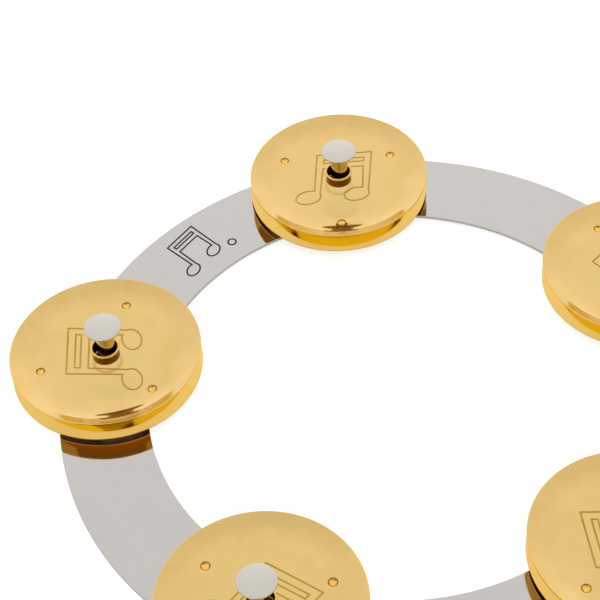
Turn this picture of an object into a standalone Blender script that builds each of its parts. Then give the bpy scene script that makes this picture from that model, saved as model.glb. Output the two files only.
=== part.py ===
"""Headless tambourine: a flat steel ring whose five rivets each carry a loose pair of brass jingles.

The ring lies in the XY plane, +Z is up, and station 1 is on the +Y side. Both jingles of a pair are the
same pressing: a dish with a drawn, lipped collar round its hole and three small dimples. The lower one
stands on its collar, concave side down, and the upper one lies on it, concave side up.
"""

import math

import bmesh
import bpy

MM = 0.001

# The ring, in millimetres.
STATIONS = 5
PITCH_R = 76.2
RING_OUTER_R = 87.6
RING_INNER_R = 64.5
RING_T = 0.9
RIVET_HOLE_R = 1.72
RING_SEGMENTS = 100

# The pressed jingle. Heights are measured from the face that meets its mate.
JINGLE_R = 25.4
SHEET_T = 0.5
FLAT_R = 15.3
BEND_W = 7.4
BEND_STEPS = (0.0, 0.62, 0.84, 1.0)
RIM_RISE = 2.45
RIM_SLOPE = RIM_RISE / (JINGLE_R - FLAT_R - 0.75 * BEND_W)
BORE_R = 3.2
COLLAR_R = 3.55
COLLAR_H = 3.8
COLLAR_CHAMFER = 0.4
LIP_R = 3.95
LIP_H = 0.65
LIP_CHAMFER = 0.18
JINGLE_SEGMENTS = 32

# Three dimples keep the two jingles of a pair apart.
DIMPLES = 3
DIMPLE_PITCH_R = 17.8
DIMPLE_R = 1.4
DIMPLE_H = 0.55
DIMPLE_SEGMENTS = 8
MATE_GAP = 0.65

# The shoulder rivet. Heights are measured from the top face of the ring.
HEAD_R = 4.87
HEAD_TOP = 16.4
HEAD_EDGE = 0.5
HEAD_DOME = 0.42
SHANK_R = 2.4
TENON_R = 1.6
TAIL_R = 3.2
TAIL_H = 0.8
TAIL_CHAMFER = 0.25
RIVET_SEGMENTS = 16
SEAT_GAP = 0.03

# How the parts stack, from the top face of the ring up.
COLLAR_GAP = 0.1
LOWER_MATE_Z = COLLAR_GAP + COLLAR_H
UPPER_MATE_Z = LOWER_MATE_Z + MATE_GAP

# The top face of the ring sits this far below the origin, which puts the origin at the centroid.
RING_TOP_Z = -2.5

# How far each loose jingle has turned and shifted on its rivet, by station.
UPPER_TURN = [22.0, 67.0, 10.0, 95.0, 109.0]
LOWER_TURN = [turn + 60.0 for turn in UPPER_TURN]
UPPER_SHIFT = [(-0.3, 0.0), (-0.4, -0.1), (0.45, 0.1), (0.45, -0.1), (-0.2, 0.1)]
LOWER_SHIFT = [(-0.45, 0.1), (-0.45, -0.2), (0.5, 0.1), (0.5, -0.1), (-0.1, 0.1)]


def clear_scene():
    """Remove whatever the scene starts with."""
    for item in list(bpy.data.objects):
        bpy.data.objects.remove(item, do_unlink=True)


def metal(name, color, roughness):
    """A plain metal material."""
    material = bpy.data.materials.new(name)
    material.use_nodes = True
    shader = material.node_tree.nodes["Principled BSDF"]
    shader.inputs["Base Color"].default_value = (*color, 1.0)
    shader.inputs["Metallic"].default_value = 1.0
    shader.inputs["Roughness"].default_value = roughness
    material.diffuse_color = (*color, 1.0)
    return material


def lathe(bm, profile, segments):
    """Turn a closed profile of (radius, height) points about Z. Points at radius 0 become one vertex."""
    rings = []
    for radius, height in profile:
        if radius == 0:
            rings.append([bm.verts.new((0, 0, height))] * segments)
            continue
        angles = [2 * math.pi * i / segments for i in range(segments)]
        rings.append([bm.verts.new((radius * math.cos(a), radius * math.sin(a), height)) for a in angles])
    for ring, following in zip(rings, rings[1:] + rings[:1]):
        for i in range(segments):
            j = (i + 1) % segments
            corners = list(dict.fromkeys((ring[i], ring[j], following[j], following[i])))
            if len(corners) > 2:
                bm.faces.new(corners)
    bmesh.ops.recalc_face_normals(bm, faces=bm.faces)


def mesh_from_profile(name, profile, segments):
    """A mesh in metres turned from a profile in millimetres."""
    bm = bmesh.new()
    lathe(bm, profile, segments)
    bmesh.ops.scale(bm, vec=(MM, MM, MM), verts=bm.verts)
    mesh = bpy.data.meshes.new(name)
    bm.to_mesh(mesh)
    bm.free()
    return mesh


def place(name, mesh, location=(0, 0, 0), turn=0.0, flipped=False):
    """Add an object; flipped turns it upside down about its own X axis first."""
    item = bpy.data.objects.new(name, mesh)
    bpy.context.scene.collection.objects.link(item)
    item.location = [MM * value for value in location]
    item.rotation_euler = (math.pi if flipped else 0.0, 0.0, math.radians(turn))
    return item


def combine(target, cutter, operation):
    """Apply an exact Boolean to target and remove the cutter."""
    modifier = target.modifiers.new(operation.lower(), "BOOLEAN")
    modifier.operation = operation
    modifier.solver = "EXACT"
    modifier.object = cutter
    bpy.context.view_layer.update()
    graph = bpy.context.evaluated_depsgraph_get()
    result = bpy.data.meshes.new_from_object(target.evaluated_get(graph))
    result.name = target.name
    target.modifiers.clear()
    target.data = result
    bpy.data.objects.remove(cutter, do_unlink=True)


def finish(mesh, material):
    """Give a finished mesh its material and smooth shading that keeps the true corners."""
    mesh.materials.clear()
    mesh.materials.append(material)
    mesh.shade_smooth()
    mesh.set_sharp_from_angle(angle=math.radians(35.0))


def station_angle(station):
    """Where station 0 to 4 sits on the ring; station 0 is on +Y."""
    return math.pi / 2 + 2 * math.pi * station / STATIONS


def station_point(station, height, shift=(0.0, 0.0)):
    """The point at a height above the ring's top face, on a rivet's axis or shifted sideways from it."""
    angle = station_angle(station)
    return (PITCH_R * math.cos(angle) + shift[0], PITCH_R * math.sin(angle) + shift[1], RING_TOP_Z + height)


def ring_mesh():
    """The flat ring with one hole for each rivet."""
    profile = [(RING_INNER_R, -RING_T), (RING_OUTER_R, -RING_T), (RING_OUTER_R, 0), (RING_INNER_R, 0)]
    body = place("ring_blank", mesh_from_profile("ring", profile, RING_SEGMENTS))
    for station in range(STATIONS):
        drill = [(0, -2 * RING_T), (RIVET_HOLE_R, -2 * RING_T), (RIVET_HOLE_R, RING_T), (0, RING_T)]
        x, y, _ = station_point(station, 0)
        turn = math.degrees(station_angle(station)) + 180 / RIVET_SEGMENTS
        tool = place("drill", mesh_from_profile("drill", drill, RIVET_SEGMENTS), (x, y, 0), turn)
        combine(body, tool, "DIFFERENCE")
    mesh = body.data
    bpy.data.objects.remove(body, do_unlink=True)
    return mesh


def rim_curve(height):
    """Points of the rim, from the flat outwards: a bend that tightens as it goes, then a straight flare."""
    bend = [(FLAT_R + BEND_W * step, height + RIM_SLOPE * BEND_W * step**4 / 4) for step in BEND_STEPS]
    return bend + [(JINGLE_R, height + RIM_RISE)]


def jingle_profile():
    """Half section of the pressing: mating face at height 0, collar and rim rising above it."""
    under = [(BORE_R + COLLAR_CHAMFER, 0)] + rim_curve(0)
    over = rim_curve(SHEET_T)[::-1] + [(COLLAR_R + COLLAR_CHAMFER, SHEET_T)]
    neck_top = COLLAR_H - LIP_H
    collar = [(COLLAR_R, SHEET_T + COLLAR_CHAMFER), (COLLAR_R, neck_top), (LIP_R, neck_top + LIP_CHAMFER)]
    lip = [(LIP_R, COLLAR_H - LIP_CHAMFER), (LIP_R - LIP_CHAMFER, COLLAR_H)]
    bore = [(BORE_R, COLLAR_H), (BORE_R, COLLAR_CHAMFER)]
    return under + over + collar + lip + bore


def dimple_profile(offset, top):
    """Cap of a ball that bulges past the mating face, shrunk by an offset and closed at a height."""
    ball = (DIMPLE_R**2 + DIMPLE_H**2) / (2 * DIMPLE_H)
    center = ball - DIMPLE_H
    radius = ball - offset
    spread = math.acos((center - top) / radius)
    arc = [(radius * math.sin(spread * i / 3), center - radius * math.cos(spread * i / 3)) for i in (1, 2, 3)]
    return [(0, center - radius)] + arc + [(0, top)]


def jingle_mesh():
    """The brass pressing with its three dimples, about its own hole's axis."""
    body = place("jingle_blank", mesh_from_profile("jingle", jingle_profile(), JINGLE_SEGMENTS))
    shapes = (("UNION", dimple_profile(0, SHEET_T / 2)), ("DIFFERENCE", dimple_profile(SHEET_T, SHEET_T + 0.2)))
    for operation, profile in shapes:
        for dimple in range(DIMPLES):
            angle = 2 * math.pi * dimple / DIMPLES
            spot = (DIMPLE_PITCH_R * math.cos(angle), DIMPLE_PITCH_R * math.sin(angle), 0)
            tool = place("dimple", mesh_from_profile("dimple", profile, DIMPLE_SEGMENTS), spot)
            combine(body, tool, operation)
    mesh = body.data
    bpy.data.objects.remove(body, do_unlink=True)
    return mesh


def rivet_mesh():
    """The shoulder rivet: peened tail, tenon through the ring, shank and a slightly domed head."""
    tail_top = -RING_T - SEAT_GAP
    tail_bottom = tail_top - TAIL_H
    head_bottom = HEAD_TOP - HEAD_DOME - HEAD_EDGE
    dome = [(0.8 * HEAD_R, HEAD_TOP - 0.64 * HEAD_DOME), (0.45 * HEAD_R, HEAD_TOP - 0.2 * HEAD_DOME), (0, HEAD_TOP)]
    profile = [(0, tail_bottom), (TAIL_R - TAIL_CHAMFER, tail_bottom), (TAIL_R, tail_bottom + TAIL_CHAMFER)]
    profile += [(TAIL_R, tail_top), (TENON_R, tail_top), (TENON_R, SEAT_GAP), (SHANK_R, SEAT_GAP)]
    profile += [(SHANK_R, head_bottom), (HEAD_R, head_bottom), (HEAD_R, HEAD_TOP - HEAD_DOME)] + dome
    return mesh_from_profile("rivet", profile, RIVET_SEGMENTS)


def build():
    """Make every piece."""
    clear_scene()
    steel = metal("polished_steel", (0.62, 0.61, 0.59), 0.12)
    brass = metal("brass", (0.80, 0.52, 0.16), 0.18)
    ring, rivet, jingle = ring_mesh(), rivet_mesh(), jingle_mesh()
    finish(ring, steel)
    finish(rivet, steel)
    finish(jingle, brass)
    place("ring", ring, (0, 0, RING_TOP_Z))
    for station in range(STATIONS):
        number = station + 1
        place(f"rivet_{number}", rivet, station_point(station, 0))
        lower = station_point(station, LOWER_MATE_Z, LOWER_SHIFT[station])
        upper = station_point(station, UPPER_MATE_Z, UPPER_SHIFT[station])
        place(f"lower_jingle_{number}", jingle, lower, LOWER_TURN[station], flipped=True)
        place(f"upper_jingle_{number}", jingle, upper, UPPER_TURN[station])


build()
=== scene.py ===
"""Looks for the jingle ring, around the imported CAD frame.

Each CAD node gets a finely formed piece in the same place: a flat steel ring, five shoulder rivets and
five pairs of loose brass jingles. The ring also carries a printed mark.
"""

import math

import bmesh
import bpy
from mathutils import Matrix, Vector
from mathutils.geometry import delaunay_2d_cdt
from mathutils.kdtree import KDTree


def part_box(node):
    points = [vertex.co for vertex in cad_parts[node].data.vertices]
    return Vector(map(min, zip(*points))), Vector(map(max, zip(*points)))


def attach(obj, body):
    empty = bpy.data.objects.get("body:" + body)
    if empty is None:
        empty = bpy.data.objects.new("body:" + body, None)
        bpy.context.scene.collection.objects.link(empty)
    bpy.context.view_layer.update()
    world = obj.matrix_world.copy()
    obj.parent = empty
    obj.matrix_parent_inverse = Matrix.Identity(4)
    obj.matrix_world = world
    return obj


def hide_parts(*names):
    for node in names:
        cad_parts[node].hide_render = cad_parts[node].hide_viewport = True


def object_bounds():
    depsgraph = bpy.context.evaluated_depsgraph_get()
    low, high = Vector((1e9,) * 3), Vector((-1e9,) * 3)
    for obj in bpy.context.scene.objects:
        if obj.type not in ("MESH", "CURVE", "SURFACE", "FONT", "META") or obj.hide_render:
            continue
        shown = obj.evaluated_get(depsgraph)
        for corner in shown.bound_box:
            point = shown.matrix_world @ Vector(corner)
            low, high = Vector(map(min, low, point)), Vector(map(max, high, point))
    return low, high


MM = 0.001
STATIONS = 5

# Ring, in millimetres.
RING_OUTER_R = 87.6
RING_INNER_R = 64.5
RING_T = 0.9
RING_HOLE_R = 1.7
RING_EDGE = 0.1
PITCH_R = 76.2

# Brass pressing. Heights run from the face that meets its mate.
JINGLE_R = 25.4
SHEET_T = 0.5
FLAT_R = 15.3
BEND_W = 7.4
RIM_RISE = 2.45
RIM_EDGE = 0.14
RIM_SLOPE = RIM_RISE / (JINGLE_R - FLAT_R - 0.75 * BEND_W)
RIM_LEAN = math.atan(RIM_SLOPE)
DISH_END = JINGLE_R - RIM_EDGE * (1 + math.sin(RIM_LEAN))
BORE_R = 3.2
COLLAR_R = 3.55
COLLAR_H = 3.8
LIP_R = 3.93
LIP_H = 0.65
DISH_FILLET = 0.3
MATE_FILLET = 0.75
DIMPLES = 3
DIMPLE_PITCH_R = 17.8
DIMPLE_R = 1.4
DIMPLE_H = 0.55
COLLAR_GAP = 0.1
MATE_GAP = 0.65

# Shoulder rivet. Heights run from the top face of the ring.
HEAD_R = 4.87
HEAD_TOP = 16.4
HEAD_DOME = 0.42
HEAD_EDGE = 0.5
SHANK_R = 2.4
TENON_R = 1.6
TAIL_R = 3.2
TAIL_H = 0.8
SEAT_GAP = 0.03
DOME_R = HEAD_R * 0.97
TAIL_ROUND, NECK_ROUND, EDGE_ROUND = 0.4, 0.25, 0.1
HEAD_LOW_ROUND, HEAD_TOP_ROUND = 0.12, 0.16

# Stamped and printed marks.
GROOVE_W = 0.5
GROOVE_D = 0.11
GROOVE_STEP = 0.5
MARK_SCALE = 0.94
PRINT_W = 0.46
PRINT_T = 0.02
PRINT_LIFT = 0.002
PRINT_STEP = 0.7
PRINT_SCALE = 0.62
PRINT_ANGLE = 126.0
PRINT_DOT_R = 1.15
PRINT_DOT_SPOT = (9.4, -5.6)

# Mesh fineness.
GUARD = 0.25   # width of the flat margin kept inside the edges of the ring
FILL_STEP, FILL_RIM_STEP = 0.8, 0.5
MITRE_LIMIT = 0.35
ROUND_SEGMENTS = 192
BORE_SEGMENTS = 96
RING_SEGMENTS = 360
HOLE_SEGMENTS = 48
RIVET_SEGMENTS = 96
DIMPLE_SEGMENTS = 40
DIMPLE_STEPS = 12
DOME_STEPS = 14
SHARP_ANGLE = math.radians(28.0)

# Material slots of a jingle, after its main one. The stamped lines, the neck, and the dimple walls with the
# bore hold painted shade; the mating face and the rim hold a painted reflection tone.
GROOVE_SHADE_SLOT, NECK_SHADE_SLOT, OUTER_REFLECTION_SLOT, LIP_SLOT, PAINTED_SHADE_SLOT = 1, 2, 3, 4, 5

# How far each loose jingle has turned and shifted, and how far its mark is turned from its dimples.
# Each lower jingle is turned further than its upper one, so that their dimples don't meet.
UPPER_TURN = [22.0, 67.0, 10.0, 95.0, 109.0]
LOWER_LAG = 60.0
UPPER_SHIFT = [(-0.3, 0.0), (-0.4, -0.1), (0.45, 0.1), (0.45, -0.1), (-0.2, 0.1)]
LOWER_SHIFT = [(-0.45, 0.1), (-0.45, -0.2), (0.5, 0.1), (0.5, -0.1), (-0.1, 0.1)]
MARK_TURN = [54.0, 99.0, 30.0, 75.0, 10.0]

# The camera, in metres, degrees and millimetres.
CAMERA_SPOT = (-0.05517, -0.28, 0.34541)
CAMERA_TURN = (42.394, 2.864, -9.702)
CAMERA_LENS = 102.92

# Brightness of the surround by the cosine of the angle from straight away, and from the camera's direction.
SURROUND = [(-1.0, 0.75), (-0.4, 0.8), (0.0, 0.87), (0.5, 0.95), (0.68, 1.0), (0.82, 1.08), (1.0, 1.12)]
CAMERA_SHADE = [(0.965, 1.0), (0.992, 0.4)]
# Colour of the painted glow that near reflected rays see in place of the collar, lip and shank.
PAINTED_GLOW = (0.97, 0.97, 0.96)
CLOSE_UP = 17.0   # reflected rays shorter than this, in millimetres, see a painted glow in place of the collar and rivet

# The table, in metres: its glow lights reflections, and the added glow whitens it for the camera.
TABLE_SIZE = 4.0
TABLE_DROP = 0.0002
TABLE_GLOW, TABLE_CAMERA_GLOW = 0.2, 0.5

# How fine the patterns on the metals are, per millimetre. Spun hairlines are fine along the radius only.
CLOUD_FINE, SMUDGE_FINE, WAVE_FINE, SPECK_FINE = 0.09, 0.22, 0.12, 0.2
HAIR_ALONG, HAIR_AROUND = 14.0, 0.25
SPECK_COLOR = (0.25, 0.23, 0.2, 1.0)

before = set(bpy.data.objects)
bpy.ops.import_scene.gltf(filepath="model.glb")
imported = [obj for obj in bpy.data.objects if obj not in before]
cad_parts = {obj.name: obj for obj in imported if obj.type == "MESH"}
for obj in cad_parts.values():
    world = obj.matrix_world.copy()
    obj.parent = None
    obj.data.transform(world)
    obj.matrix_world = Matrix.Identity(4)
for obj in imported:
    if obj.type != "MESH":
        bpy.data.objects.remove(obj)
cad_low, cad_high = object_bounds()
RING_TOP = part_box("ring")[1].z / MM


# ---------------------------------------------------------------- plane outlines

def circle(radius, count, center=(0.0, 0.0)):
    """Points of a circle, anticlockwise."""
    steps = [2 * math.pi * i / count for i in range(count)]
    return [Vector((center[0] + radius * math.cos(a), center[1] + radius * math.sin(a))) for a in steps]


def ellipse_arc(center, half, tilt, start, end, count):
    """Points of a tilted ellipse from one parameter angle to another, in degrees."""
    points = []
    for i in range(count + 1):
        a = math.radians(start + (end - start) * i / count)
        x, y = half[0] * math.cos(a), half[1] * math.sin(a)
        c, s = math.cos(math.radians(tilt)), math.sin(math.radians(tilt))
        points.append(Vector((center[0] + x * c - y * s, center[1] + x * s + y * c)))
    return points


def offset_loop(loop, distance):
    """The closed loop moved sideways by a distance, to its left when positive, with mitred corners."""
    moved = []
    for before, here, after in zip(loop[-1:] + loop[:-1], loop, loop[1:] + loop[:1]):
        a, b = (here - before).normalized(), (after - here).normalized()
        na, nb = Vector((-a.y, a.x)), Vector((-b.y, b.x))
        moved.append(here + (na + nb) * (distance / max(MITRE_LIMIT, 1 + na.dot(nb))))
    return moved


def note_outline():
    """Two beamed notes about the origin, as closed loops in millimetres: their edge and a window."""
    stem, left, right = 2.3, -7.4, 7.2
    foot_l, foot_r = (left - 1.3, -8.6), (right - 1.3, -6.4)
    head = (3.9, 2.75)
    slope = 0.13
    top = 12.2

    def beam(x, drop):
        return Vector((x, top + slope * (x - right) - drop))

    outer = [beam(left, 0), beam(right + stem, 0)]
    outer += ellipse_arc(foot_r, head, 22, 8, -312, 44)
    outer += [beam(right, 6.2), beam(left + stem, 6.2)]
    outer += ellipse_arc(foot_l, head, 22, 8, -312, 44)
    window = [beam(left + stem, 2.3), beam(left + stem, 3.9), beam(right, 3.9), beam(right, 2.3)]
    return [outer, window]


def turned(loops, degrees, scale):
    """Loops scaled and turned about the origin."""
    c, s = math.cos(math.radians(degrees)) * scale, math.sin(math.radians(degrees)) * scale
    return [[Vector((c * p.x - s * p.y, s * p.x + c * p.y)) for p in loop] for loop in loops]


def spaced(loop, step):
    """The closed loop with its long edges cut to about a step."""
    points = []
    for here, after in zip(loop, loop[1:] + loop[:1]):
        cuts = max(1, round((after - here).length / step))
        points += [here.lerp(after, i / cuts) for i in range(cuts)]
    return points


# ---------------------------------------------------------------- mesh building

def plate(bm, loops, points, base, inside, slot_of=None):
    """Triangulate a region through closed loops and loose points, and give every vertex its height.

    loops and points carry how far they drop below the base surface, whose height is base(radius).
    inside says whether a triangle's centre belongs to the region, and slot_of gives its material slot
    from the drops of its corners and its centre."""
    coords, edges, drops = [], [], []
    for loop, drop in loops:
        first = len(coords)
        coords += loop
        drops += [drop] * len(loop)
        edges += [(first + i, first + (i + 1) % len(loop)) for i in range(len(loop))]
    for point, drop in points:
        coords.append(point)
        drops.append(drop)
    flat, _, faces, origin, _, _ = delaunay_2d_cdt(coords, edges, [], 0, 1e-5)
    sunk = [drops[ids[0]] for ids in origin]
    verts = [bm.verts.new((p.x, p.y, base(p.length) - d)) for p, d in zip(flat, sunk)]
    for face in faces:
        center = sum((flat[i] for i in face), Vector((0, 0))) / len(face)
        if inside(center):
            made = bm.faces.new([verts[i] for i in face])
            if slot_of:
                made.material_index = slot_of([sunk[i] for i in face], center)
    bmesh.ops.delete(bm, geom=[v for v in verts if not v.link_faces], context="VERTS")


def strip(bm, profile, segments, center=(0.0, 0.0)):
    """Turn an open profile of (radius, height) about Z. A point at radius 0 becomes one vertex."""
    rows = []
    for radius, height in profile:
        if radius == 0:
            rows.append([bm.verts.new((*center, height))] * segments)
        else:
            rows.append([bm.verts.new((p.x, p.y, height)) for p in circle(radius, segments, center)])
    for row, following in zip(rows, rows[1:]):
        for i in range(segments):
            j = (i + 1) % segments
            corners = list(dict.fromkeys((row[i], row[j], following[j], following[i])))
            if len(corners) > 2:
                bm.faces.new(corners)


def rounding(center, radius, start, end, steps):
    """Profile points on a quarter or other arc, angles in degrees from the outward direction."""
    angles = [math.radians(start + (end - start) * i / steps) for i in range(steps + 1)]
    return [(center[0] + radius * math.cos(a), center[1] + radius * math.sin(a)) for a in angles]


def solid(name, bm, materials):
    """Weld, orient and shade a closed mesh that was built in millimetres.

    Sharp corners and the edges between materials stay crisp."""
    bmesh.ops.remove_doubles(bm, verts=bm.verts, dist=2e-4)
    bmesh.ops.recalc_face_normals(bm, faces=bm.faces)
    bmesh.ops.scale(bm, vec=(MM, MM, MM), verts=bm.verts)
    for face in bm.faces:
        face.smooth = True
    for edge in bm.edges:
        one, other = edge.link_faces
        edge.smooth = one.material_index == other.material_index and edge.calc_face_angle() < SHARP_ANGLE
    mesh = bpy.data.meshes.new(name)
    bm.to_mesh(mesh)
    bm.free()
    for material in materials:
        mesh.materials.append(material)
    return mesh


def put(name, mesh, body, location, node=None, turn=0.0, flipped=False):
    """Add a turned copy of a mesh at a place, ride it on a body and let it stand for a CAD node."""
    mesh = mesh.copy()
    mesh.name = name
    mesh.transform(Matrix.Rotation(math.radians(turn), 4, "Z") @ Matrix.Rotation(math.pi * flipped, 4, "X"))
    item = bpy.data.objects.new(name, mesh)
    bpy.context.scene.collection.objects.link(item)
    item.location = [MM * value for value in location]
    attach(item, body)
    if node:
        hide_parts(node)
    return item


# ---------------------------------------------------------------- jingles

def dish(radius):
    """Height of the mating face: a flat middle, a bend that tightens outwards, then a straight flare."""
    out = max(0.0, radius - FLAT_R)
    bend = min(out / BEND_W, 1.0)
    return RIM_SLOPE * (BEND_W * bend**4 / 4 + max(0.0, out - BEND_W))


def rim_profile():
    """Round the cut edge, from the end of the dish side to the end of the mating side."""
    lean, low = math.degrees(RIM_LEAN), dish(DISH_END)
    mid = JINGLE_R - RIM_EDGE
    upper = rounding((mid, low + SHEET_T - RIM_EDGE * math.cos(RIM_LEAN)), RIM_EDGE, 90 + lean, 0, 8)
    lift = RIM_EDGE * (1 + math.sin(RIM_LEAN) ** 2) / math.cos(RIM_LEAN)
    lower = rounding((mid, low + lift), RIM_EDGE, 0, lean - 90, 5)
    return upper + lower + [(DISH_END, low)]


def collar_profile():
    """From the dish side's flat up the neck, round its rolled lip and down the bore to the mating side."""
    bead = LIP_H / 2
    bead_r = LIP_R - bead
    rise = rounding((COLLAR_R + DISH_FILLET, SHEET_T + DISH_FILLET), DISH_FILLET, 270, 180, 5)
    under = math.degrees(math.acos((COLLAR_R - bead_r) / bead))
    lip = rounding((bead_r, COLLAR_H - bead), bead, -under, 175, 22)
    drop = rounding((BORE_R + MATE_FILLET, MATE_FILLET), MATE_FILLET, 180, 270, 8)
    return rise + lip + drop


def dimple_spots():
    """Centres of the dimples."""
    angles = [2 * math.pi * dimple / DIMPLES for dimple in range(DIMPLES)]
    return [Vector((DIMPLE_PITCH_R * math.cos(a), DIMPLE_PITCH_R * math.sin(a))) for a in angles]


def dimple_loops():
    """Rings of each dimple with their drops: a flat floor, a steep wall and a soft brim."""
    loops = []
    for center in dimple_spots():
        for step in range(1, DIMPLE_STEPS + 1):
            share = step / DIMPLE_STEPS
            wall = min(1.0, max(0.0, (share - 0.36) / 0.64))
            drop = DIMPLE_H * (1 - wall * wall * (3 - 2 * wall))
            loops.append((circle(DIMPLE_R * share, DIMPLE_SEGMENTS, center), drop))
    return loops


def filler_points(inner_r, loops, clearance=0.3):
    """Loose points on circles across the dish, kept clear of the loops, so that no triangle is long."""
    kept = []
    marks = [p for loop, _ in loops for p in loop]
    tree = KDTree(len(marks))
    for i, p in enumerate(marks):
        tree.insert((p.x, p.y, 0.0), i)
    tree.balance()
    radius = inner_r + 0.6
    while radius < JINGLE_R - 0.45:
        count = max(48, round(2 * math.pi * radius / FILL_STEP))
        for p in circle(radius, count):
            if tree.find((p.x, p.y, 0.0))[2] > clearance:
                kept.append((p, 0.0))
        radius += FILL_STEP if radius < FLAT_R else FILL_RIM_STEP
    return kept


def dish_side(bm, inner_r, height, marks=()):
    """One face of the sheet: the dish with its dimples, and stamped marks where given."""
    loops = [(circle(DISH_END, ROUND_SEGMENTS), 0.0), (circle(inner_r, BORE_SEGMENTS), 0.0)]
    loops += dimple_loops() + list(marks)
    spots = dimple_spots()
    fill = filler_points(inner_r, loops) + [(spot, DIMPLE_H) for spot in spots]

    def slot_of(drops, center):
        if min((center - spot).length for spot in spots) < DIMPLE_R:
            # Dimple walls take the darkened slot: painted shade.
            on_wall = 0.05 * DIMPLE_H < max(drops) and min(drops) < 0.95 * DIMPLE_H
            return PAINTED_SHADE_SLOT if on_wall else 0
        # Stamped lines are rougher, and darker as painted shade in the grooves.
        return GROOVE_SHADE_SLOT if max(drops) > 0 else 0

    plate(bm, loops, fill, lambda r: height + dish(r), lambda p: p.length > inner_r, slot_of)


def groove_loops(mark_turn):
    """The stamped outline as loops with their drops: each line is a V, deepest along its middle."""
    grooves = []
    for loop in turned([spaced(part, GROOVE_STEP) for part in note_outline()], mark_turn - 90, MARK_SCALE):
        grooves.append((offset_loop(loop, GROOVE_W / 2), 0.0))
        grooves.append((loop, GROOVE_D))
        grooves.append((offset_loop(loop, -GROOVE_W / 2), 0.0))
    return grooves


def jingle_mesh(name, mark_turn, materials):
    """One pressing: dish, rim, collar, dimples and the stamped outline."""
    bm = bmesh.new()
    dish_side(bm, COLLAR_R + DISH_FILLET, SHEET_T, groove_loops(mark_turn))
    dish_side(bm, BORE_R + MATE_FILLET, 0.0)
    strip(bm, rim_profile(), ROUND_SEGMENTS)
    strip(bm, collar_profile(), BORE_SEGMENTS)
    bore_end = BORE_R + 0.2
    for face in bm.faces:
        spot = face.calc_center_median()
        radius = spot.xy.length
        if spot.z > COLLAR_H - LIP_H and radius < LIP_R:
            face.material_index = LIP_SLOT
        # The neck under the lip is painted dark brown: painted shade.
        elif spot.z > SHEET_T + 0.05 and bore_end < radius < COLLAR_R + DISH_FILLET:
            face.material_index = NECK_SHADE_SLOT
        # The inside of the bore takes the darkened slot: painted shade.
        elif spot.z > SHEET_T and radius < bore_end:
            face.material_index = PAINTED_SHADE_SLOT
        # The rim and the mating face take a deeper orange: a painted reflection of brass on brass.
        elif radius > DISH_END or spot.z < dish(radius) + SHEET_T / 2:
            face.material_index = OUTER_REFLECTION_SLOT
    return solid(name, bm, materials)


# ---------------------------------------------------------------- ring and rivets

def station_spot(station, height=0.0, shift=(0.0, 0.0)):
    """A point at a height above the ring's top face, on a rivet's axis or shifted sideways from it."""
    a = math.pi / 2 + 2 * math.pi * station / STATIONS
    return (PITCH_R * math.cos(a) + shift[0], PITCH_R * math.sin(a) + shift[1], RING_TOP + height)


def ring_mesh(material):
    """The flat ring with lightly broken edges and five rivet holes."""
    bm = bmesh.new()
    out, inn, e = RING_OUTER_R - RING_EDGE, RING_INNER_R + RING_EDGE, RING_EDGE
    holes = [station_spot(station)[:2] for station in range(STATIONS)]

    def inside(p):
        in_hole = any((p - Vector(hole)).length < RING_HOLE_R for hole in holes)
        return p.length > inn and not in_hole

    for z in (0.0, -RING_T):
        loops = [circle(r, RING_SEGMENTS) for r in (out, out - GUARD, inn, inn + GUARD)]
        loops += [circle(RING_HOLE_R, HOLE_SEGMENTS, hole) for hole in holes]
        plate(bm, [(loop, 0.0) for loop in loops], [], lambda r, z=z: z, inside)
    rim = rounding((out, -e), e, 90, 0, 5) + rounding((out, e - RING_T), e, 0, -90, 5)
    bore = rounding((inn, e - RING_T), e, 270, 180, 5) + rounding((inn, -e), e, 180, 90, 5)
    strip(bm, rim, RING_SEGMENTS)
    strip(bm, bore, RING_SEGMENTS)
    for hole in holes:
        strip(bm, [(RING_HOLE_R, 0.0), (RING_HOLE_R, -RING_T)], HOLE_SEGMENTS, hole)
    return solid("ring", bm, [material])


def rivet_mesh(materials):
    """Shoulder rivet: peened tail, tenon, shank, and a head with a soft edge and a slight dome.

    The shank and the underside of the head have the second material, whose warm tint is a painted
    reflection of the brass around them."""
    bm = bmesh.new()
    tail_top = -RING_T - SEAT_GAP
    tail_low = tail_top - TAIL_H
    rim_z = HEAD_TOP - HEAD_DOME
    under = rim_z - HEAD_EDGE
    ball = (HEAD_R**2 + HEAD_DOME**2) / (2 * HEAD_DOME)
    dome = []
    for i in range(1, DOME_STEPS + 1):
        r = DOME_R * (1 - i / DOME_STEPS)
        dome.append((r if i < DOME_STEPS else 0, HEAD_TOP - ball + math.sqrt(ball**2 - r**2)))
    profile = [(0, tail_low), (TAIL_R - TAIL_ROUND - 0.05, tail_low)]
    profile += rounding((TAIL_R - TAIL_ROUND, tail_low + TAIL_ROUND), TAIL_ROUND, -90, 0, 5)
    profile += rounding((TAIL_R - EDGE_ROUND, tail_top - EDGE_ROUND), EDGE_ROUND, 0, 90, 3)
    profile += [(TENON_R, tail_top), (TENON_R, SEAT_GAP)]
    profile += rounding((SHANK_R - EDGE_ROUND, SEAT_GAP + EDGE_ROUND), EDGE_ROUND, -90, 0, 3)
    profile += rounding((SHANK_R + NECK_ROUND, under - NECK_ROUND), NECK_ROUND, 180, 90, 5)
    profile += rounding((HEAD_R - HEAD_LOW_ROUND, under + HEAD_LOW_ROUND), HEAD_LOW_ROUND, -90, 0, 5)
    profile += rounding((HEAD_R - HEAD_TOP_ROUND, rim_z - HEAD_TOP_ROUND), HEAD_TOP_ROUND, 0, 80, 6) + dome
    strip(bm, profile, RIVET_SEGMENTS)
    for face in bm.faces:
        spot = face.calc_center_median()
        face.material_index = int(0 < spot.z < under + 0.02)
    return solid("rivet", bm, materials)


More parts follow.
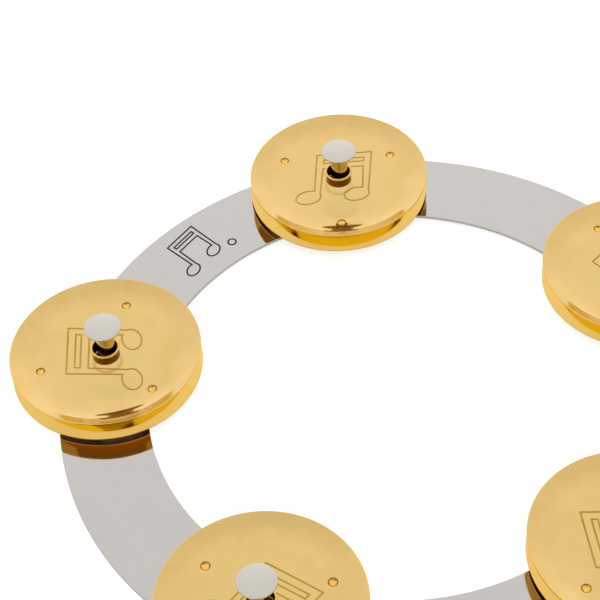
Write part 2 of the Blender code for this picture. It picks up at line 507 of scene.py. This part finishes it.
def print_mesh(material):
    """The ink mark on the ring: thin raised lines along the outline, and a small circle beside it."""
    bm = bmesh.new()
    loops = [spaced(part, PRINT_STEP) for part in turned(note_outline(), 0, PRINT_SCALE)]
    loops.append(circle(PRINT_DOT_R, 28, PRINT_DOT_SPOT))
    for loop in loops:
        left, right = offset_loop(loop, PRINT_W / 2), offset_loop(loop, -PRINT_W / 2)
        rows = [(left, 0.0), (left, PRINT_T), (right, PRINT_T), (right, 0.0)]
        verts = [[bm.verts.new((p.x, p.y, z)) for p in row] for row, z in rows]
        for row, following in zip(verts, verts[1:] + verts[:1]):
            for i in range(len(loop)):
                j = (i + 1) % len(loop)
                bm.faces.new((row[i], row[j], following[j], following[i]))
    return solid("print_mark", bm, [material])


# ---------------------------------------------------------------- materials

class Nodes:
    """Small helper for building a material's node tree."""

    def __init__(self, name, roughness):
        self.material = bpy.data.materials.new(name)
        self.material.use_nodes = True
        self.tree = self.material.node_tree
        self.shader = self.tree.nodes["Principled BSDF"]
        self.shader.inputs["Roughness"].default_value = roughness

    def add(self, kind, **values):
        """Add a node. Each value sets the input of that name or else the property."""
        node = self.tree.nodes.new(kind)
        for key, value in values.items():
            if key in node.inputs:
                node.inputs[key].default_value = value
            else:
                setattr(node, key, value)
        return node

    def link(self, socket, target, into=0):
        """Link an output socket to an input of a node, and return the node."""
        self.tree.links.new(socket, target.inputs[into])
        return target

    def join(self, source, target, output=0, into=0):
        """Link an output of a node to an input of another, and return the latter."""
        return self.link(source.outputs[output], target, into)

    def noise(self, vector, scale, detail=3.0, roughness=0.5):
        """Cloudy noise over a vector."""
        node = self.add("ShaderNodeTexNoise", Scale=scale, Detail=detail, Roughness=roughness)
        return self.join(vector, node, 0, "Vector")

    def ranged(self, source, low, high, from_low=0.35, from_high=0.65):
        """Map a range of values to another one, clamped at both ends."""
        node = self.add("ShaderNodeMapRange")
        limits = {"From Min": from_low, "From Max": from_high, "To Min": low, "To Max": high}
        for slot, value in limits.items():
            node.inputs[slot].default_value = value
        return self.join(source, node, 0, "Value")

    def blend(self, factor, first, second):
        """Mix two colours by a factor socket. The first is a colour or another blend."""
        node = self.add("ShaderNodeMix", data_type="RGBA")
        if isinstance(first, tuple):
            node.inputs["A"].default_value = first
        else:
            self.link(first.outputs["Result"], node, "A")
        node.inputs["B"].default_value = second
        return self.link(factor, node, "Factor")

    def bump(self, source, distance, below=None):
        """Raise the surface by a height source, on top of an earlier bump if there is one."""
        node = self.add("ShaderNodeBump", Strength=1.0, Distance=distance)
        self.join(source, node, 0, "Height")
        if below:
            self.join(below, node, 0, "Normal")
        return node


def radius_node(nodes, parts):
    """Distance from the object's Z axis, from a separated position."""
    squares = []
    for axis in (0, 1):
        power = nodes.add("ShaderNodeMath", operation="MULTIPLY")
        nodes.join(parts, power, axis, 0)
        squares.append(nodes.join(parts, power, axis, 1))
    total = nodes.add("ShaderNodeMath", operation="ADD")
    nodes.join(squares[0], total)
    nodes.join(squares[1], total, 0, 1)
    return nodes.join(total, nodes.add("ShaderNodeMath", operation="SQRT"))


def spun_vector(nodes, parts, radius, along, around):
    """A texture vector that changes with the radius and only slowly round the axis, as spun marks do."""
    stretched = nodes.join(radius, nodes.add("ShaderNodeMath", operation="MULTIPLY"))
    stretched.inputs[1].default_value = along
    vector = nodes.add("ShaderNodeCombineXYZ")
    nodes.join(stretched, vector, 0, "X")
    for axis, name in ((0, "Y"), (1, "Z")):
        slow = nodes.join(parts, nodes.add("ShaderNodeMath", operation="MULTIPLY"), axis)
        slow.inputs[1].default_value = around
        nodes.join(slow, vector, 0, name)
    return vector


def mirrored(nodes, shortest, longest=None):
    """Socket that is 1 for reflected rays whose length, in millimetres, is in a range."""
    path = nodes.add("ShaderNodeLightPath")
    factor = path.outputs["Is Glossy Ray"]
    for operation, limit in (("GREATER_THAN", shortest), ("LESS_THAN", longest)):
        if limit is None:
            continue
        test = nodes.add("ShaderNodeMath", operation=operation)
        test.inputs[1].default_value = limit * MM
        nodes.link(path.outputs["Ray Length"], test)
        both = nodes.add("ShaderNodeMath", operation="MULTIPLY")
        nodes.link(factor, both)
        factor = nodes.join(test, both, 0, 1).outputs[0]
    return factor


def paint_close_up_glow(nodes, shortest):
    """Show a painted glow instead of the surface to reflected rays that started nearby.

    This painted reflection keeps the collar and shank out of the satin flat right beside them."""
    glow = nodes.add("ShaderNodeEmission", Color=(*PAINTED_GLOW, 1.0), Strength=1.0)
    mixed = nodes.link(mirrored(nodes, shortest, CLOSE_UP), nodes.add("ShaderNodeMixShader"))
    nodes.join(nodes.shader, mixed, 0, 1)
    nodes.join(glow, mixed, 0, 2)
    nodes.join(mixed, nodes.tree.nodes["Material Output"], 0, "Surface")


def millimetres(nodes):
    """Node with the place on the object, in millimetres."""
    place = nodes.add("ShaderNodeTexCoord")
    position = nodes.add("ShaderNodeVectorMath", operation="SCALE", Scale=1.0 / MM)
    return nodes.link(place.outputs["Object"], position)


def speckled(nodes, position, color, strength):
    """The colour with small dark specks, blended in by a strength."""
    dots = nodes.join(position, nodes.add("ShaderNodeTexVoronoi", Scale=SPECK_FINE), 0, "Vector")
    spots = nodes.ranged(dots, strength, 0.0, 0.012, 0.03)
    return nodes.blend(spots.outputs[0], color, SPECK_COLOR)


def duller_middle(nodes, radius, color, roughness, tone, added_roughness):
    """The colour and roughness, changed on the flat middle of a pressing."""
    inward = nodes.ranged(radius, 1.0, 0.0, FLAT_R - 3.0, FLAT_R + 2.5)
    added = nodes.join(inward, nodes.add("ShaderNodeMath", operation="MULTIPLY"))
    added.inputs[1].default_value = added_roughness
    total = nodes.join(roughness, nodes.add("ShaderNodeMath", operation="ADD"))
    return nodes.blend(inward.outputs[0], color, (*tone, 1.0)), nodes.join(added, total, 0, 1)


def metal(name, light, dark, rough, spin, wave, specks=0.0, middle=None, painted_reflections=(), close_up=None):
    """Polished metal: two-tone colour cloud, smudged roughness, spun hairlines and a slight waviness.

    spin and wave are the depths of the hairlines and the waviness in millimetres. specks is how strong
    small dark specks are. middle, a colour and an added roughness, makes the flat middle of a pressing
    paler and duller than its rim. The list of reflection tones holds painted reflections: colours that the
    metal shows only to reflected rays, in place of its own, each with the distance it starts from.
    close_up swaps the metal for a painted glow in nearby reflections, but for rays shorter than it."""
    nodes = Nodes(name, rough[0])
    nodes.shader.inputs["Metallic"].default_value = 1.0
    position = millimetres(nodes)
    parts = nodes.join(position, nodes.add("ShaderNodeSeparateXYZ"))
    radius = radius_node(nodes, parts)
    cloud = nodes.ranged(nodes.noise(position, CLOUD_FINE, 4.0, 0.6), 0.0, 1.0)
    color = nodes.blend(cloud.outputs[0], (*light, 1.0), (*dark, 1.0))
    smudge = nodes.ranged(nodes.noise(position, SMUDGE_FINE, 5.0, 0.65), *rough)
    if specks:
        color = speckled(nodes, position, color, specks)
    if middle:
        color, smudge = duller_middle(nodes, radius, color, smudge, *middle)
    # Painted reflections: each tone replaces the colour for reflected rays longer than its distance.
    for distance, tone in painted_reflections:
        color = nodes.blend(mirrored(nodes, distance), color, (*tone, 1.0))
    nodes.link(color.outputs["Result"], nodes.shader, "Base Color")
    nodes.join(smudge, nodes.shader, 0, "Roughness")
    wavy = nodes.bump(nodes.noise(position, WAVE_FINE, 1.0), wave * MM)
    hairs = nodes.noise(spun_vector(nodes, parts, radius, HAIR_ALONG, HAIR_AROUND), 1.0, 4.0, 0.7)
    nodes.join(nodes.bump(hairs, spin * MM, wavy), nodes.shader, 0, "Normal")
    if close_up is not None:
        paint_close_up_glow(nodes, close_up)
    return nodes.material


def ink(name):
    """Matt black print with a slightly uneven density."""
    nodes = Nodes(name, 0.55)
    nodes.shader.inputs["Specular IOR Level"].default_value = 0.15
    place = nodes.add("ShaderNodeTexCoord")
    patch = nodes.add("ShaderNodeTexNoise", Scale=2500.0, Detail=3.0)
    nodes.link(place.outputs["Object"], patch, "Vector")
    shade = nodes.join(patch, nodes.add("ShaderNodeValToRGB"))
    shade.color_ramp.elements[0].color = (0.006, 0.006, 0.006, 1.0)
    shade.color_ramp.elements[1].color = (0.02, 0.019, 0.018, 1.0)
    nodes.join(shade, nodes.shader, 0, "Base Color")
    return nodes.material


# ---------------------------------------------------------------- assembly

def steels():
    """Materials of the ring, of the rivets and of their shanks."""
    # The ring shows a brownish painted reflection tone to reflected rays.
    ring = metal("steel_mirror", (0.60, 0.58, 0.575), (0.585, 0.57, 0.57), (0.04, 0.07), 0.00003, 0.001,
                 specks=0.5, painted_reflections=[(0.0, (0.40, 0.30, 0.15))])
    pin = metal("steel_pin", (0.66, 0.63, 0.59), (0.63, 0.60, 0.565), (0.09, 0.14), 0.0001, 0.001)
    # The shank's warm brown tint is a painted reflection of the brass around it; it shows a darker painted
    # tone to long reflected rays and a painted glow to near ones.
    shank = metal("steel_shank_painted_reflection", (0.74, 0.61, 0.56), (0.68, 0.56, 0.51), (0.08, 0.12), 0.0001, 0.001,
                  painted_reflections=[(CLOSE_UP, (0.34, 0.19, 0.04))], close_up=5.0)
    return ring, pin, shank


def brasses():
    """Materials of the upper and of the lower jingles, each in the order of the slot numbers."""
    # The upper brass shows a painted reflection tone to reflected rays.
    upper = metal("brass_polished", (0.85, 0.59, 0.245), (0.79, 0.535, 0.20), (0.07, 0.11), 0.0002, 0.005,
                  middle=((0.80, 0.57, 0.225), 0.16), painted_reflections=[(0.0, (0.74, 0.52, 0.05))])
    # Stamped lines: rougher, with a darker colour that is painted shade.
    groove = metal("brass_groove_painted_shade", (0.60, 0.37, 0.08), (0.50, 0.29, 0.05), (0.3, 0.4), 0.0002, 0.002)
    # Painted shade for the dimple walls and the inside of the bore.
    dark = metal("brass_painted_shade", (0.40, 0.23, 0.05), (0.32, 0.17, 0.035), (0.2, 0.27), 0.0002, 0.002)
    # The neck's dark brown is painted shade; near reflections see a painted glow in its place.
    neck = metal("brass_neck_painted_shade", (0.30, 0.13, 0.02), (0.22, 0.09, 0.012), (0.16, 0.24), 0.0002, 0.002,
                 close_up=0.0)
    # The rim and mating face: deeper orange as a painted reflection of brass on brass, with painted
    # reflection tones for reflected rays.
    upper_out = metal("brass_outer_upper_painted_reflection", (0.97, 0.62, 0.14), (0.93, 0.58, 0.12), (0.07, 0.11), 0.0002,
                      0.004, painted_reflections=[(0.0, (0.99, 0.75, 0.03)), (7.0, (0.66, 0.31, 0.04))])
    lower_out = metal("brass_outer_lower_painted_reflection", (0.95, 0.62, 0.17), (0.91, 0.58, 0.15), (0.07, 0.11), 0.0002,
                      0.004, painted_reflections=[(0.0, (0.62, 0.30, 0.04))])
    # The lip shows a painted glow to near reflected rays.
    lip = metal("brass_lip", (0.86, 0.60, 0.22), (0.80, 0.54, 0.17), (0.12, 0.18), 0.0002, 0.002,
                close_up=4.0)
    # The lower brass shows a near-black painted shade to reflected rays, darkening it wherever it is seen
    # in reflections.
    lower = metal("brass_inside", (0.85, 0.575, 0.19), (0.80, 0.53, 0.155), (0.12, 0.2), 0.0002, 0.004,
                  painted_reflections=[(0.0, (0.18, 0.055, 0.008))])
    return [upper, groove, neck, upper_out, lip, dark], [lower, groove, neck, lower_out, lip, dark]


def build_pieces():
    """Make every visible piece and ride it on its body."""
    steel, pin, shank = steels()
    pressing, turned_over = brasses()
    put("ring_visual", ring_mesh(steel), "ring", (0, 0, RING_TOP), "ring")
    rivet = rivet_mesh([pin, shank])
    lower_mesh = jingle_mesh("jingle_lower", MARK_TURN[0], turned_over)
    lower_z = COLLAR_GAP + COLLAR_H
    upper_z = lower_z + MATE_GAP
    for station in range(STATIONS):
        number, turn = station + 1, UPPER_TURN[station]
        put(f"rivet_visual_{number}", rivet, "ring", station_spot(station), f"rivet_{number}")
        low, spot = f"lower_jingle_{number}", station_spot(station, lower_z, LOWER_SHIFT[station])
        put(f"lower_jingle_visual_{number}", lower_mesh, low, spot, low, turn + LOWER_LAG, True)
        mesh = jingle_mesh(f"jingle_upper_{number}", MARK_TURN[station], pressing)
        high, spot = f"upper_jingle_{number}", station_spot(station, upper_z, UPPER_SHIFT[station])
        put(f"upper_jingle_visual_{number}", mesh, high, spot, high, turn)
    a = math.radians(PRINT_ANGLE)
    spot = (PITCH_R * math.cos(a), PITCH_R * math.sin(a), RING_TOP + PRINT_LIFT)
    put("print_mark", print_mesh(ink("ink_black")), "ring", spot, turn=PRINT_ANGLE - 90)


# ---------------------------------------------------------------- stage, light and camera

def surround_ramp(tree, directions, axis, stops):
    """A ramp over the cosine of the angle from an axis. Its blue is a little lower away from the axis."""
    dot = tree.nodes.new("ShaderNodeVectorMath")
    dot.operation = "DOT_PRODUCT"
    dot.inputs[1].default_value = axis
    tree.links.new(directions, dot.inputs[0])
    shift = tree.nodes.new("ShaderNodeMapRange")
    shift.inputs["From Min"].default_value = -1.0
    tree.links.new(dot.outputs["Value"], shift.inputs["Value"])
    ramp = tree.nodes.new("ShaderNodeValToRGB")
    tree.links.new(shift.outputs[0], ramp.inputs[0])
    elements = ramp.color_ramp.elements
    elements.remove(elements[1])
    for i, (spot, value) in enumerate(stops):
        element = elements[0] if i == 0 else elements.new((spot + 1) / 2)
        element.position = (spot + 1) / 2
        element.color = (value, value * 0.995, value * (0.93 + 0.055 * max(0.0, spot)), 1.0)
    return ramp


def studio_world():
    """Soft studio surround, brightest low behind the object, dimmer and warmer towards the camera.

    It is dark in the camera's own direction. Seen directly, it is plain white."""
    world = bpy.data.worlds.new("studio")
    world.use_nodes = True
    bpy.context.scene.world = world
    tree = world.node_tree
    directions = tree.nodes.new("ShaderNodeTexCoord").outputs["Generated"]
    away = Vector((-CAMERA_SPOT[0], -CAMERA_SPOT[1], 0.0)).normalized()
    product = tree.nodes.new("ShaderNodeVectorMath")
    product.operation = "MULTIPLY"
    back = Vector(CAMERA_SPOT).normalized()
    for i, (axis, stops) in enumerate(((away, SURROUND), (back, CAMERA_SHADE))):
        ramp = surround_ramp(tree, directions, axis, stops)
        tree.links.new(ramp.outputs[0], product.inputs[i])
    path = tree.nodes.new("ShaderNodeLightPath")
    seen = tree.nodes.new("ShaderNodeMix")
    seen.data_type = "RGBA"
    seen.inputs["B"].default_value = (1.0, 1.0, 1.0, 1.0)
    tree.links.new(path.outputs["Is Camera Ray"], seen.inputs["Factor"])
    tree.links.new(product.outputs[0], seen.inputs["A"])
    tree.links.new(seen.outputs["Result"], tree.nodes["Background"].inputs["Color"])


def floor():
    """A plain white table top: clean white to the camera, and softly lit grey in reflections."""
    nodes = Nodes("table_white", 0.9)
    nodes.shader.inputs["Base Color"].default_value = (0.72, 0.72, 0.72, 1.0)
    nodes.shader.inputs["Specular IOR Level"].default_value = 0.0
    path = nodes.add("ShaderNodeLightPath")
    clean = nodes.add("ShaderNodeMath", operation="MULTIPLY_ADD")
    clean.inputs[1].default_value = TABLE_CAMERA_GLOW
    clean.inputs[2].default_value = TABLE_GLOW
    nodes.link(path.outputs["Is Camera Ray"], clean)
    nodes.shader.inputs["Emission Color"].default_value = (1.0, 1.0, 1.0, 1.0)
    nodes.join(clean, nodes.shader, 0, "Emission Strength")
    bm = bmesh.new()
    bmesh.ops.create_grid(bm, x_segments=8, y_segments=8, size=TABLE_SIZE)
    mesh = bpy.data.meshes.new("table_top")
    bm.to_mesh(mesh)
    bm.free()
    mesh.materials.append(nodes.material)
    table = bpy.data.objects.new("table_top", mesh)
    bpy.context.scene.collection.objects.link(table)
    table.location.z = cad_low.z - TABLE_DROP


def camera():
    """The photograph's viewpoint."""
    data = bpy.data.cameras.new("camera")
    data.lens = CAMERA_LENS
    data.sensor_width = 36.0
    data.clip_start = 0.01
    item = bpy.data.objects.new("camera", data)
    bpy.context.scene.collection.objects.link(item)
    item.location = CAMERA_SPOT
    item.rotation_euler = [math.radians(value) for value in CAMERA_TURN]
    bpy.context.scene.camera = item


build_pieces()
studio_world()
floor()
camera()
bpy.context.scene.view_settings.view_transform = "Standard"
